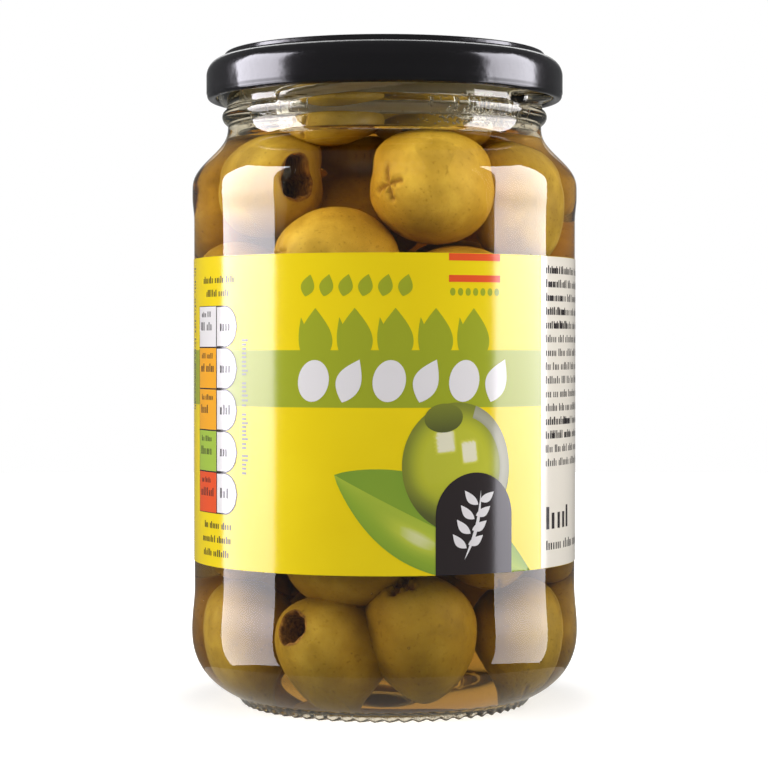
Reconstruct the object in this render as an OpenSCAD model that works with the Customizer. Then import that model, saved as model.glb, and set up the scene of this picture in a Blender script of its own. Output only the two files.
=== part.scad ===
// Tall glass jar of pitted green olives in brine, shut by a twist-off steel lid.
// The jar's axis is Z, the table is z = 0 and the front of the label faces -Y.
// All sizes are in millimetres and all angles in degrees.

/* [Jar] */
// Height of the glass from the table to the rim
jar_h = 119.4; // [100:0.1:150]
// Outer radius of the straight panel that carries the label
body_r = 35.5; // [29:0.1:43]
// Thickness of the glass in the panel
wall = 2.5; // [2:0.1:3.2]
// Thickness of the glass floor above the standing ring
floor_t = 5; // [4:0.1:7]
// Depth of the hollow under the base
push_up = 2.8; // [1:0.1:3.5]
// How far the floor rises towards its middle
crown = 1; // [0:0.1:1.5]

/* [Heel and shoulder] */
// Height of the heel's widest ring above the table
heel_h = 14; // [11:0.1:18]
// How far the heel stands out past the panel
heel_proud = 0.5; // [0:0.1:1]
// Distance over which the heel eases back to the panel
heel_ease = 8; // [6:0.5:10]
// Distance from the panel in to the middle of the standing ring
ring_inset = 9.7; // [8:0.1:12]
// Width of the flat on the standing ring
ring_w = 1.2; // [0.8:0.1:2]
// Height of the sloping shoulder
shoulder_h = 12.2; // [10:0.1:15]
// How far the shoulder stands out past the panel
shoulder_proud = 0.3; // [0:0.1:1]
// Distance over which the panel eases out to the shoulder
shoulder_ease = 4.2; // [3:0.1:6]

/* [Neck and thread] */
// Height of the neck from the shoulder to the rim
neck_h = 12; // [11:0.1:16]
// Radius of the bore through the neck
bore_r = 27.2; // [22:0.1:33]
// Thickness of the glass in the neck
neck_wall = 2.2; // [1.8:0.1:2.8]
// Radius of the rounding on both edges of the rim
rim_round = 0.75; // [0.4:0.05:0.9]
// Distance of the transfer bead's middle below the rim
bead_drop = 10.5; // [9.5:0.1:11]
// Section radius of the transfer bead
bead_section_r = 1.5; // [1:0.1:1.8]
// How far the transfer bead stands out past the neck
bead_proud = 0.96; // [0.5:0.02:1.2]
// Number of thread starts, which is also the lid's number of lugs
starts = 4; // [3:1:6]
// Angle that one glass thread covers
thread_span = 72; // [50:1:75]
// Direction of the middle of the first thread, from +X
thread_turn = -95.5; // [-180:0.5:180]
// How far the thread stands out past the neck
thread_proud = 1.85; // [1:0.05:2.2]
// Height of the thread at its root
thread_root = 2.6; // [2:0.1:3]
// Distance of the thread's middle below the rim
thread_drop = 6.5; // [6:0.1:7.5]
// Rise of the thread from end to end
thread_rise = 4.8; // [3:0.1:6]

/* [Lid] */
// Thickness of the steel sheet
sheet = 0.25; // [0.2:0.01:0.35]
// Gap between the thread and the inside of the skirt
skirt_gap = 1.7; // [1.4:0.1:2.5]
// Radius of the lid's top edge
lid_round = 3.3; // [2:0.1:3.6]
// Section radius of the rolled curl
curl_r = 0.85; // [0.6:0.05:0.95]
// Distance of the raised ring's outer edge in from the skirt
ring_step = 3.2; // [3:0.1:4]
// Width of the raised ring that holds the gasket
raised_w = 3.2; // [3:0.1:3.6]
// Height of the raised ring above the lid's top edge
raised_h = 1.5; // [1:0.1:1.7]
// Depth of the lid's middle below the raised ring
panel_drop = 0.9; // [0.5:0.1:1.1]
// Radius of the vacuum button
button_r = 14; // [10:0.5:18]
// Depth of the vacuum button when it is drawn down
button_drop = 0.35; // [0.1:0.05:0.5]
// Thickness of the sealing ring between the rim and the lid
gasket_t = 1.15; // [1:0.05:1.4]
// Angle that one lid lug covers
lug_span = 14.5; // [10:0.5:18]
// Angle from the middle of a glass thread on to the lug that is screwed under it
lug_along = 33.8; // [20:0.1:34]
// Gap between the neck and the inner edge of a lug
lug_gap = 0.9; // [0.5:0.1:1.1]
// Gap between a lug's top and the underside of its glass thread
lug_seat_gap = 0.33; // [0.1:0.01:0.6]

/* [Label] */
// Thickness of the label paper
paper = 0.1; // [0.08:0.01:0.15]
// Bare glass between the heel's easing and the label
label_low_gap = 4.8; // [2:0.1:8]
// Bare glass between the label and the shoulder's easing
label_top_gap = 7.3; // [2:0.1:12]
// Length of the pasted overlap at the back
overlap = 7; // [4:0.5:12]

/* [Contents] */
// Distance of the brine's surface below the rim
brine_drop = 15.9; // [13:0.1:20]
// Width of an olive
olive_w = 16; // [13:0.1:20]
// Length of an olive
olive_l = 20; // [16:0.1:24]
// Diameter of the hole left by the pit
pit_d = 6.4; // [5:0.1:7]
// How far the pit hole runs in, as a share of the olive's length
pit_share = 0.72; // [0.5:0.01:0.8]
// Width and depth of the cross cut opposite the pit hole
cross_w = 0.6; // [0.4:0.1:1]
// Gap between an olive and the wall of the neck
olive_gap = 0.4; // [0.3:0.05:1]

/* [Hidden] */
$fn = 96;
tiny = 0.01;

// Squareness of the heel's curve, inside and out: 2 would be an ellipse.
heel_power = 2.4;
// Half widths of the ellipse-like heel curves, outside and in, and the outer one's half height.
heel_out_w = 24.2;
heel_out_h = heel_h + 1;
heel_in_w = 16;
heel_in_h = heel_h + 1 - floor_t;
// Height of the low foot that carries the standing ring, and the bevel at its edge.
foot_h = 1.6;
foot_bevel = 0.5;
// How far the inner shoulder lies below the outer one, so that the slope keeps its wall.
shoulder_shift = 1;
// Height of the shoulder's widest stretch, and of the stretch where the neck's waist opens out.
shoulder_land = 1.2;
waist_h = 2.8;
// How much narrower the waist is than the neck above it.
waist_in = 0.2;
// Widths of the slopes round the lid's button and inside its raised ring.
button_slope = 1.5;
raised_slope = 0.4;

panel_bottom = heel_h + heel_ease;
shoulder_top = jar_h - neck_h;
shoulder_bottom = shoulder_top - shoulder_h;
panel_top = shoulder_bottom - shoulder_ease - shoulder_land;
heel_r = body_r + heel_proud;
shoulder_r = body_r + shoulder_proud;
inner_r = body_r - wall;
neck_r = bore_r + neck_wall;
waist_r = neck_r - waist_in;
ring_r = body_r - ring_inset;

lid_top = jar_h + gasket_t + sheet;
skirt_r = neck_r + thread_proud + skirt_gap + sheet;
raised_r = skirt_r - ring_step;
curl_mid_r = skirt_r - sheet / 2 - curl_r;

// The lugs reach in from the curl, at its height, and sit just under the glass threads.
lug_root_half = 0.7 * curl_r;
lug_tip_half = 0.45 * curl_r;
thread_z_at_lug = jar_h - thread_drop + thread_rise / 2 * sin(lug_along) / sin(thread_span / 2);
curl_z = thread_z_at_lug - thread_root / 2 - lug_seat_gap - lug_root_half;

label_bottom = panel_bottom + label_low_gap;
label_top = panel_top - label_top_gap;
brine_z = jar_h - brine_drop;

// The olives that break the surface, one row each: the direction of the middle from +X, the
// middle's height above the brine, the plan angle from the outward direction to the long
// axis, that axis's rise, and the size beside a whole olive.
SURFACE_OLIVES = [
    [-118, 1.7, 14, 6, 0.92],
    [93, 0.2, 78, 8, 1.03],
    [14, -6.2, 62, -14, 1.05],
];

// Smooth steps from 0 to 1: a cubic for the slight easings, a quintic for the shoulder.
function ease3(t) = t * t * (3 - 2 * t);
function ease5(t) = t * t * t * (10 - 15 * t + 6 * t * t);
function mix(a, b, t) = a + (b - a) * t;
function steps(n) = [for (i = [0:n]) i / n];
function backwards(list) = [for (i = [len(list) - 1:-1:0]) list[i]];

// A point on a squared quarter ellipse: angle 0 is its widest, 90 its lowest.
function heel_point(r, z, w, h, angle) =
    [r - w + w * pow(cos(angle), 2 / heel_power), z - h * pow(sin(angle), 2 / heel_power)];

// Angle at which the outer heel meets the foot.
foot_angle = asin(pow((heel_h - foot_h) / heel_out_h, heel_power / 2));

// The glass's outside, from the middle of the base up to the rim's outer edge.
outer_outline = concat(
    [for (t = steps(10)) [(ring_r - ring_w / 2) * t, push_up * (1 - pow(t, 3))]],
    [[ring_r + ring_w / 2, 0], [ring_r + ring_w / 2 + foot_bevel, foot_bevel]],
    [for (t = steps(14)) heel_point(heel_r, heel_h, heel_out_w, heel_out_h, foot_angle * (1 - t))],
    [for (t = steps(6)) if (t > 0) [mix(heel_r, body_r, ease3(t)), heel_h + heel_ease * t]],
    [for (t = steps(5)) [mix(body_r, shoulder_r, ease3(t)), panel_top + shoulder_ease * t]],
    [for (t = steps(18)) [mix(shoulder_r, waist_r, ease5(t)), shoulder_bottom + shoulder_h * t]],
    [[neck_r, shoulder_top + waist_h]],
    [for (a = [0:15:90]) [neck_r - rim_round + rim_round * cos(a), jar_h - rim_round + rim_round * sin(a)]]
);

// The hollow, from the middle of the floor up to the rim's inner edge.
inner_outline = concat(
    [for (t = steps(6)) if (t < 1) [(inner_r - heel_in_w) * t, floor_t + crown * (1 - t * t)]],
    [for (t = steps(14)) heel_point(inner_r, heel_h + 1, heel_in_w, heel_in_h, 90 * (1 - t))],
    [for (t = steps(18))
        [mix(inner_r, bore_r, ease5(t)), shoulder_bottom - shoulder_shift + shoulder_h * t]],
    [for (a = [180:-15:90]) [bore_r + rim_round + rim_round * cos(a), jar_h - rim_round + rim_round * sin(a)]]
);

module hollow() {
    rotate_extrude() polygon(concat(inner_outline, [[0, jar_h]]));
}

// One raised thread: a ring segment tilted about its own middle, so that it climbs like a helix.
// Its flanks run straight on into the wall of the neck.
module glass_thread() {
    sunk = 0.6;
    crest = 0.22 * thread_root;
    flank = (thread_root / 2 - crest) / thread_proud;
    root = thread_root / 2 + flank * sunk;
    half_sweep = (neck_r + thread_proud) * sin(thread_span / 2);
    rotate([atan(thread_rise / 2 / half_sweep), 0, 0])
        rotate(-thread_span / 2)
            rotate_extrude(angle = thread_span)
                polygon([
                    [neck_r - sunk, -root],
                    [neck_r + thread_proud, -crest],
                    [neck_r + thread_proud, crest],
                    [neck_r - sunk, root],
                ]);
}

module jar() {
    color([0.80, 0.86, 0.82, 0.4])
        union() {
            difference() {
                rotate_extrude() polygon(concat(outer_outline, [[0, jar_h]]));
                hollow();
                translate([0, 0, jar_h - tiny]) cylinder(r = bore_r + rim_round, h = 1);
            }
            translate([0, 0, jar_h - bead_drop])
                rotate_extrude()
                    translate([neck_r + bead_proud - bead_section_r, 0]) circle(bead_section_r);
            for (i = [0:starts - 1])
                rotate(thread_turn + i * 360 / starts)
                    translate([0, 0, jar_h - thread_drop]) glass_thread();
        }
}

// One face of the sheet, from the lid's middle out and down the skirt, moved inwards by depth.
function lid_face(depth) = concat(
    [
        [0, lid_top - panel_drop - button_drop - depth],
        [button_r - button_slope, lid_top - panel_drop - button_drop - depth],
        [button_r, lid_top - panel_drop - depth],
        [raised_r - raised_w - raised_slope + depth, lid_top - panel_drop - depth],
        [raised_r - raised_w + depth, lid_top - depth],
        [raised_r - depth, lid_top - depth],
        [raised_r - depth, lid_top - raised_h - depth],
    ],
    [for (a = [84:-12:0])
        [skirt_r - lid_round + (lid_round - depth) * cos(a),
         lid_top - raised_h - lid_round + (lid_round - depth) * sin(a)]],
    [[skirt_r - depth, curl_z]]
);

// One lug: the curl pressed inwards until it reaches under a glass thread.
module lid_lug() {
    tip_r = neck_r + lug_gap;
    tip_bevel = 0.2;
    rotate(-lug_span / 2)
        rotate_extrude(angle = lug_span)
            polygon([
                [curl_mid_r, curl_z - lug_root_half],
                [tip_r + tip_bevel, curl_z - lug_tip_half],
                [tip_r, curl_z],
                [tip_r + tip_bevel, curl_z + lug_tip_half],
                [curl_mid_r, curl_z + lug_root_half],
            ]);
}

module lid() {
    color([0.09, 0.09, 0.10])
        union() {
            rotate_extrude() polygon(concat(lid_face(0), backwards(lid_face(sheet))));
            translate([0, 0, curl_z])
                rotate_extrude() translate([curl_mid_r, 0]) circle(curl_r);
            for (i = [0:starts - 1])
                rotate(thread_turn + lug_along + i * 360 / starts) lid_lug();
        }
}

module gasket() {
    seat_gap = 0.05;
    color([0.85, 0.82, 0.72])
        translate([0, 0, jar_h])
            difference() {
                cylinder(r = raised_r - sheet - seat_gap, h = gasket_t);
                translate([0, 0, -tiny]) cylinder(r = bore_r, h = gasket_t + 2 * tiny);
            }
}

// The paper goes once round the panel, and its end is pasted over its start at the back.
module label() {
    overlap_angle = overlap / body_r * 180 / PI;
    color([0.96, 0.86, 0.10])
        translate([0, 0, label_bottom])
            union() {
                rotate_extrude() translate([body_r, 0]) square([paper, label_top - label_bottom]);
                rotate(90 - overlap_angle / 2)
                    rotate_extrude(angle = overlap_angle)
                        translate([body_r + paper / 2, 0])
                            square([1.5 * paper, label_top - label_bottom]);
            }
}

// A whole olive about its long axis Z, a little fuller towards the pit hole's end.
module olive_body(size) {
    rotate_extrude()
        polygon([for (a = [-90:10:90])
            [size * olive_w / 2 * (abs(a) == 90 ? 0 : cos(a) * (1 + 0.05 * sin(a))),
             size * olive_l / 2 * sin(a)]]);
}

// Its pit hole, which opens at +Z, and the cross cut that the pitting tool leaves at -Z.
module olive_cuts(size) {
    depth = pit_share * olive_l * size;
    translate([0, 0, size * olive_l / 2 - depth]) cylinder(d = pit_d, h = depth + 1);
    for (turn = [0, 90])
        rotate(turn)
            translate([-pit_d / 2, -cross_w / 2, -size * olive_l / 2 - 1])
                cube([pit_d, cross_w, 1 + 2.5 * cross_w]);
}

// Puts what it is given where surface olive i lies: the middle stands in from the wall of the
// neck by the olive's own reach in that direction, and the pit hole turns away from the wall.
module at_surface(i) {
    row = SURFACE_OLIVES[i];
    half_l = row[4] * olive_l / 2;
    half_w = row[4] * olive_w / 2;
    reach = sqrt(pow(half_l * cos(row[2]), 2) + pow(half_w * sin(row[2]), 2));
    rotate(row[0])
        translate([bore_r - olive_gap - reach, 0, brine_z + row[1]])
            rotate(row[2]) rotate([0, -90 + row[3], 0]) children();
}

module surface_olive(i) {
    color([0.72, 0.62, 0.22])
        at_surface(i)
            difference() {
                olive_body(SURFACE_OLIVES[i][4]);
                olive_cuts(SURFACE_OLIVES[i][4]);
            }
}

// Brine fills the hollow up to its surface, cut round the olives that stand out of it.
module brine() {
    color([0.62, 0.55, 0.22, 0.6])
        difference() {
            intersection() {
                hollow();
                cylinder(r = body_r, h = brine_z);
            }
            for (i = [0:len(SURFACE_OLIVES) - 1])
                at_surface(i) olive_body(SURFACE_OLIVES[i][4]);
        }
}

jar();
lid();
gasket();
label();
brine();
surface_olive(0);  // olive_1
surface_olive(1);  // olive_2
surface_olive(2);  // olive_3
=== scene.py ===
"""Looks of a sealed glass jar of pitted green olives in brine, with a paper label and a steel lid.

The CAD frame gives the places. Every piece is a surface worked out with numpy in millimetres, with the
jar's axis on Z, the table at z = 0 and the front of the label facing -Y, and goes into its mesh in
metres. Angles round the jar are measured from the front towards +X.
"""
import math

import bpy
import numpy as np
from mathutils import Matrix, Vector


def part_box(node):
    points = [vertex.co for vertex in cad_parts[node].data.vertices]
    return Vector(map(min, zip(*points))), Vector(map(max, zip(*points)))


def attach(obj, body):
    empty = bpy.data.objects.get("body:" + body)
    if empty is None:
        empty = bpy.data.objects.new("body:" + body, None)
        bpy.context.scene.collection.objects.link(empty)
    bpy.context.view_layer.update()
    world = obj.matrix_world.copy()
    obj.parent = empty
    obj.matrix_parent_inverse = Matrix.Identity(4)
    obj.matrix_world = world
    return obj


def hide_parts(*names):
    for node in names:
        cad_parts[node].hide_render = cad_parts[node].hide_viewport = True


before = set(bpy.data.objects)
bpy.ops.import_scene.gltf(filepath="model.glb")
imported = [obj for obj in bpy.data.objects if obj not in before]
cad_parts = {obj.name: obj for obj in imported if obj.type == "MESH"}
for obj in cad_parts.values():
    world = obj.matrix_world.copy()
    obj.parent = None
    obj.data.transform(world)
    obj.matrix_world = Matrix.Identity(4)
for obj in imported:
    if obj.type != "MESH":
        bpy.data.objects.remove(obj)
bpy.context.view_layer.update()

MM = 0.001
TAU = 2 * math.pi


def node_box(node):
    """Lowest and highest corner of a CAD node, in millimetres."""
    low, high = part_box(node)
    return np.array(low) / MM, np.array(high) / MM


# ---- sizes read from the frame
JAR_HIGH = node_box("jar")[1]
LID_LOW, LID_HIGH = node_box("lid")
LABEL_LOW, LABEL_HIGH = node_box("label")
BRINE_HIGH = node_box("brine")[1]

HEEL_R = JAR_HIGH[0]
JAR_H = JAR_HIGH[2]
LABEL_BOTTOM, LABEL_TOP = LABEL_LOW[2], LABEL_HIGH[2]
BRINE_Z = BRINE_HIGH[2]
LID_TOP = LID_HIGH[2]
SKIRT_R = LID_HIGH[0]

# Sizes of the glass that its box doesn't give.
BODY_R = HEEL_R - 0.5
SHOULDER_R = BODY_R + 0.3
WALL = 2.5
INNER_R = BODY_R - WALL
BORE_R = 27.2
NECK_R = BORE_R + 2.2
WAIST_R = NECK_R - 0.2
RIM_ROUND = 0.75
FLOOR_T = 5.0
CROWN = 1.0  # how much the floor rises in its middle
STANDING_R = 26.0
HEEL_POWER = 2.4
HEEL_Z = 14.0
PANEL_Z = HEEL_Z + 8
SHOULDER_Z = JAR_H - 24.2
SHOULDER_H = 12.2
PANEL_TOP = SHOULDER_Z - 5.4
INNER_HEEL_Z = HEEL_Z + 1
INNER_SHOULDER_Z = SHOULDER_Z - 1
WAIST_Z = SHOULDER_Z + SHOULDER_H
FLOOR_R = INNER_R - 16
BEAD_Z = JAR_H - 10.5
THREAD_Z = JAR_H - 6.5
LABEL_R = BODY_R + 0.1


# ---- mesh making
def unit(v):
    """A vector, or an array of them, at length 1."""
    v = np.asarray(v, float)
    return v / np.linalg.norm(v, axis=-1, keepdims=True)


def smooth(t):
    """The cubic step from 0 to 1, level at both ends."""
    t = np.clip(t, 0, 1)
    return t * t * (3 - 2 * t)


def smoother(t):
    """The quintic step from 0 to 1, level and unbent at both ends."""
    t = np.clip(t, 0, 1)
    return t**3 * (10 - 15 * t + 6 * t * t)


def ring_angles(count):
    """Angles of the columns round the jar's axis, from the front towards +X."""
    return np.arange(count) * TAU / count


def around(r, z, angles):
    """Points of a surface round the axis: radius and height on a grid, each column at its angle."""
    r, z, angles = np.broadcast_arrays(r, z, angles)
    return np.stack([r * np.sin(angles), -r * np.cos(angles), z], -1)


def surface(points, wrap=True, poles=(False, False), ring=False, slot=0, **values):
    """One surface for piece(): a grid of points in millimetres, rows by columns. With wrap the last
    column joins the first. A pole is a first or last row that is all one point, and with ring the last
    row lies on the first and joins it. slot is a material slot, or one for each strip between rows.
    values are numbers at the points, by attribute name."""
    rows, columns = points.shape[:2]
    number = np.arange(rows * columns).reshape(rows, columns)
    if poles[0]:
        number[0] = number[0, 0]
    if poles[1]:
        number[-1] = number[-1, 0]
    if ring:
        number[-1] = number[0]
    left = number if wrap else number[:, :-1]
    right = np.roll(number, -1, axis=1) if wrap else number[:, 1:]
    faces = np.stack([left[:-1], right[:-1], right[1:], left[1:]], -1)
    if poles[0]:
        faces[0] = faces[0][:, [0, 2, 3, 3]]
    slots = np.broadcast_to(np.reshape(slot, (-1, 1)), faces.shape[:2])
    return {
        "points": points.reshape(-1, 3),
        "faces": faces.reshape(-1, 4),
        "slots": slots.reshape(-1),
        "values": {k: np.broadcast_to(v, (rows, columns)).reshape(-1) for k, v in values.items()},
    }


def piece(name, surfaces, materials, sharp=None):
    """One object out of surfaces: joins them, drops the points that a pole leaves unused, and sets the
    attributes, the material slots and the shading. sharp is the angle in degrees past which an edge
    stays hard."""
    starts = np.cumsum([0] + [len(s["points"]) for s in surfaces[:-1]])
    points = np.concatenate([s["points"] for s in surfaces]) * MM
    faces = np.concatenate([s["faces"] + start for s, start in zip(surfaces, starts)])
    used, faces = np.unique(faces, return_inverse=True)
    faces = faces.reshape(-1, 4)
    corners = [f[:3] if f[2] == f[3] else f for f in faces.tolist()]
    mesh = bpy.data.meshes.new(name)
    mesh.from_pydata(points[used], [], corners)
    mesh.polygons.foreach_set("material_index", np.concatenate([s["slots"] for s in surfaces]))
    for key in surfaces[0]["values"]:
        value = np.concatenate([s["values"][key] for s in surfaces])[used]
        mesh.attributes.new(key, "FLOAT", "POINT").data.foreach_set("value", value.astype(np.float32))
    for material in materials:
        mesh.materials.append(material)
    mesh.shade_smooth()
    if sharp is not None:
        mesh.set_sharp_from_angle(angle=math.radians(sharp))
    mesh.update()
    made = bpy.data.objects.new(name, mesh)
    bpy.context.scene.collection.objects.link(made)
    return made


# ---- material making
def linear(colour):
    """A sRGB hex colour such as 'E8D44A' as linear red, green, blue and alpha."""
    srgb = np.array([int(colour[i:i + 2], 16) for i in (0, 2, 4)]) / 255
    rgb = np.where(srgb <= 0.04045, srgb / 12.92, ((srgb + 0.055) / 1.055) ** 2.4)
    return (*rgb.tolist(), 1.0)


def add(owner, kind, settings=None, links=None, **properties):
    """Adds a shader node to a material or a world: its kind, which is its type's name after ShaderNode,
    its properties, its sockets' values and its links from other nodes' outputs. A link is (node, output
    name) or (node, output number)."""
    tree = owner.node_tree
    node = tree.nodes.new("ShaderNode" + kind)
    for key, value in properties.items():
        setattr(node, key, value)
    for key, value in (settings or {}).items():
        node.inputs[key].default_value = value
    for key, (source, output) in (links or {}).items():
        tree.links.new(source.outputs[output], node.inputs[key])
    return node


def new_material(name):
    """A material with no nodes yet."""
    material = bpy.data.materials.new(name)
    material.use_nodes = True
    material.node_tree.nodes.clear()
    return material


def finished(material, face, volume=None):
    """The material, once its face and what fills it are led to its output."""
    links = {"Surface": (face, 0)}
    if volume:
        links["Volume"] = (volume, 0)
    add(material, "OutputMaterial", links=links)
    return material


def noise(material, scale, detail, roughness=0.5):
    """A cloudy texture in the object's own metres: a scale of 1000 makes blotches of about 1 mm."""
    place = add(material, "TexCoord")
    settings = {"Scale": scale, "Detail": detail, "Roughness": roughness}
    return add(material, "TexNoise", settings, {"Vector": (place, "Object")})


def ramp(material, source, stops, output=0):
    """A colour ramp on another node's output, from (place, hex colour) stops."""
    node = add(material, "ValToRGB", links={0: (source, output)})
    elements = node.color_ramp.elements
    for at, colour in stops[1:-1]:
        elements.new(at).color = linear(colour)
    elements[0].position, elements[0].color = stops[0][0], linear(stops[0][1])
    elements[len(stops) - 1].position, elements[len(stops) - 1].color = stops[-1][0], linear(stops[-1][1])
    return node


def between(material, source, output, start, end, low, high):
    """A value that goes from low to high as a node's output goes from start to end."""
    return add(material, "MapRange", {1: start, 2: end, 3: low, 4: high}, {0: (source, output)})


def opaque(material, settings, links, height=None, strength=0.0, depth=0.0):
    """Finishes an opaque material with its shader's values and links. height is a texture that bumps the
    face by up to depth metres."""
    if height:
        amount = {"Strength": strength, "Distance": depth}
        bump = add(material, "Bump", amount, {"Height": (height, 0)})
        links = {**links, "Normal": (bump, 0)}
    return finished(material, add(material, "BsdfPrincipled", settings, links))


def absorbing(material, colour, density):
    """What fills a clear body: it takes light away by its colour, at a density in 1/m."""
    return add(material, "VolumeAbsorption", {"Color": linear(colour), "Density": density})


def by_ray(owner, kind, others, chosen):
    """One shader for light paths of a kind, and another for all others."""
    ray = add(owner, "LightPath")
    return add(owner, "MixShader", links={0: (ray, kind), 1: (others, 0), 2: (chosen, 0)})


def clear_body(name, ior, tint="FFFFFF", lamp_tint="FFFFFF", filling=None):
    """A clear dielectric: it bends and mirrors light, and lamps shine straight through it. filling is the
    hex colour and the density, in 1/m, of what absorbs light inside it."""
    material = new_material(name)
    glass = add(material, "BsdfGlass", {"Color": linear(tint), "Roughness": 0.0, "IOR": ior})
    through = add(material, "BsdfTransparent", {"Color": linear(lamp_tint)})
    face = by_ray(material, "Is Shadow Ray", glass, through)
    return finished(material, face, absorbing(material, *filling) if filling else None)


def brine_side_material():
    """Brine where it wets the glass: the glass's own inner face bends the light there, so this face only
    bounds the tinted water."""
    material = new_material("brine_against_glass")
    through = add(material, "BsdfTransparent", {"Color": (1, 1, 1, 1)})
    return finished(material, through, absorbing(material, *BRINE_FILLING))


def olive_material(name, ior, roughness):
    """Cured green olive: a smooth waxy skin over soft flesh. The eye sees blotches a few millimetres wide
    and fine paler and darker flecks, and torn brown flesh in the pit hole and the cross cut. A mix of
    colours has them at its sockets 6 and 7 and gives its result at output 2."""
    material = new_material(name)
    # Blotches of about 6 mm.
    blotch = noise(material, 160.0, 3.0, 0.55)
    skin = ramp(material, blotch, [(0.30, "A8862C"), (0.50, "BA9634"), (0.72, "CFAC42")])
    # Flecks of about 0.6 mm.
    fleck = noise(material, 1500.0, 2.0, 0.6)
    flecks = ramp(material, fleck, [(0.28, "8A6F2A"), (0.40, "FFFFFF"), (0.66, "FFFFFF"), (0.80, "FFF3C0")])
    flecked = add(material, "Mix", {"Factor": 0.35}, {6: (skin, 0), 7: (flecks, 0)}, data_type="RGBA",
                  blend_type="MULTIPLY")
    # tone carries each olive's own random tone together with its painted shade low in the jar.
    tone = add(material, "Attribute", attribute_name="tone")
    toned = add(material, "HueSaturation", {}, {"Color": (flecked, 2), "Value": (tone, "Fac")})
    cut = add(material, "Attribute", attribute_name="cut")
    flesh = ramp(material, fleck, [(0.3, "5A3A1C"), (0.7, "94682C")])
    colour = add(material, "Mix", {}, {0: (cut, "Fac"), 6: (toned, 0), 7: (flesh, 0)}, data_type="RGBA")
    shader = {"Roughness": roughness, "IOR": ior}
    return opaque(material, shader, {"Base Color": (colour, 2)}, fleck, 0.25, 0.0003)


# The brine's colour, and in 1/m how strongly it takes light away.
BRINE_FILLING = ("E7CE57", 68.0)

soda_lime_glass = clear_body("soda_lime_glass", 1.52, "F9F8F2", "F5F5F0")
wetted_glass = clear_body("soda_lime_glass_wetted_by_brine", 1.13)
brine_surface = clear_body("brine_surface", 1.345, filling=BRINE_FILLING)
brine_against_glass = brine_side_material()
condensed_water = clear_body("condensed_water", 1.333)
air_bubble = clear_body("air_bubble_in_brine", 0.75)
# Under brine the skin hardly shines, because brine bends light nearly as much as the skin does.
olive_under_brine = olive_material("olive_skin_under_brine", 1.12, 0.45)
olive_wet = olive_material("olive_skin_wet", 1.40, 0.22)


# ---- the glass
def glass_wave(angles, z, size, seed):
    """Unevenness of moulded glass: five sine waves round and up the jar, of 9 to 34 mm, at seeded phases."""
    rng = np.random.default_rng(seed)
    wave = 0
    for _ in range(5):
        turns = rng.integers(4, 14)
        rise = rng.uniform(0.15, 0.6)
        wave = wave + np.sin(turns * angles + rise * z + rng.uniform(0, TAU))
    return size * wave / 5


def squared_heel(r, z, width, height, degrees):
    """Squared quarter ellipse: at 0 degrees its widest, at 90 its lowest."""
    a = np.radians(degrees)
    return np.stack([r - width + width * np.cos(a) ** (2 / HEEL_POWER),
                     z - height * np.sin(a) ** (2 / HEEL_POWER)], -1)


def path(r, z):
    """Profile points from radii and heights, either of them one number."""
    return np.atleast_2d(np.stack(np.broadcast_arrays(np.asarray(r, float), np.asarray(z, float)), -1))


def steps(start, end, count, skip_first=True):
    """Evenly spaced numbers, without the first one unless it is asked for."""
    return np.linspace(start, end, count + 1)[1 if skip_first else 0:]


def arc(r, z, radius, degrees):
    """Profile points of an arc round a middle: 0 degrees is straight out from the axis and 90 is up."""
    a = np.radians(degrees)
    return path(r + radius * np.cos(a), z + radius * np.sin(a))


def outer_profile():
    """The glass's outside, from the middle of the base up to the rim's top: push-up, standing ring, heel,
    panel, shoulder and neck."""
    ring_r = STANDING_R - 0.2
    foot = math.degrees(math.asin((12.4 / 15) ** (HEEL_POWER / 2)))
    t = steps(0, 1, 10, False)
    to_panel, swell, slope = steps(0, 1, 8), steps(0, 1, 6), steps(0, 1, 24)
    return np.concatenate([
        path((ring_r - 0.6) * t, 2.8 * (1 - t**3)),
        path(steps(ring_r - 0.6, ring_r + 0.6, 3), 0),
        path(steps(ring_r + 0.6, ring_r + 1.1, 2), steps(0, 0.5, 2)),
        squared_heel(HEEL_R, HEEL_Z, 24.2, 15, steps(foot, 0, 24, False)),
        path(HEEL_R + (BODY_R - HEEL_R) * smooth(to_panel), HEEL_Z + (PANEL_Z - HEEL_Z) * to_panel),
        path(BODY_R, steps(PANEL_Z, PANEL_TOP, 16)),
        path(BODY_R + (SHOULDER_R - BODY_R) * smooth(swell), PANEL_TOP + 4.2 * swell),
        path(SHOULDER_R, SHOULDER_Z),
        path(SHOULDER_R + (WAIST_R - SHOULDER_R) * smoother(slope), SHOULDER_Z + SHOULDER_H * slope),
        path(WAIST_R + (NECK_R - WAIST_R) * smooth(steps(0, 4, 36)), steps(WAIST_Z, JAR_H - RIM_ROUND, 36)),
        arc(NECK_R - RIM_ROUND, JAR_H - RIM_ROUND, RIM_ROUND, steps(0, 90, 6)),
    ])


def inner_profile():
    """The glass's inside, from the rim's top down the bore, the shoulder, the panel and the heel to the
    middle of the floor."""
    drop = steps(1, 0, 24)
    t = steps(1, 0, 6)
    return np.concatenate([
        arc(BORE_R + RIM_ROUND, JAR_H - RIM_ROUND, RIM_ROUND, steps(90, 180, 6, False)),
        path(BORE_R, steps(JAR_H - RIM_ROUND, INNER_SHOULDER_Z + SHOULDER_H, 14)),
        path(INNER_R + (BORE_R - INNER_R) * smoother(drop), INNER_SHOULDER_Z + SHOULDER_H * drop),
        path(INNER_R, steps(INNER_SHOULDER_Z, INNER_HEEL_Z, 20)),
        squared_heel(INNER_R, INNER_HEEL_Z, INNER_R - FLOOR_R, INNER_HEEL_Z - FLOOR_T, steps(0, 90, 20)),
        path(FLOOR_R * t, FLOOR_T + CROWN * (1 - t * t)),
    ])


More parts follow.
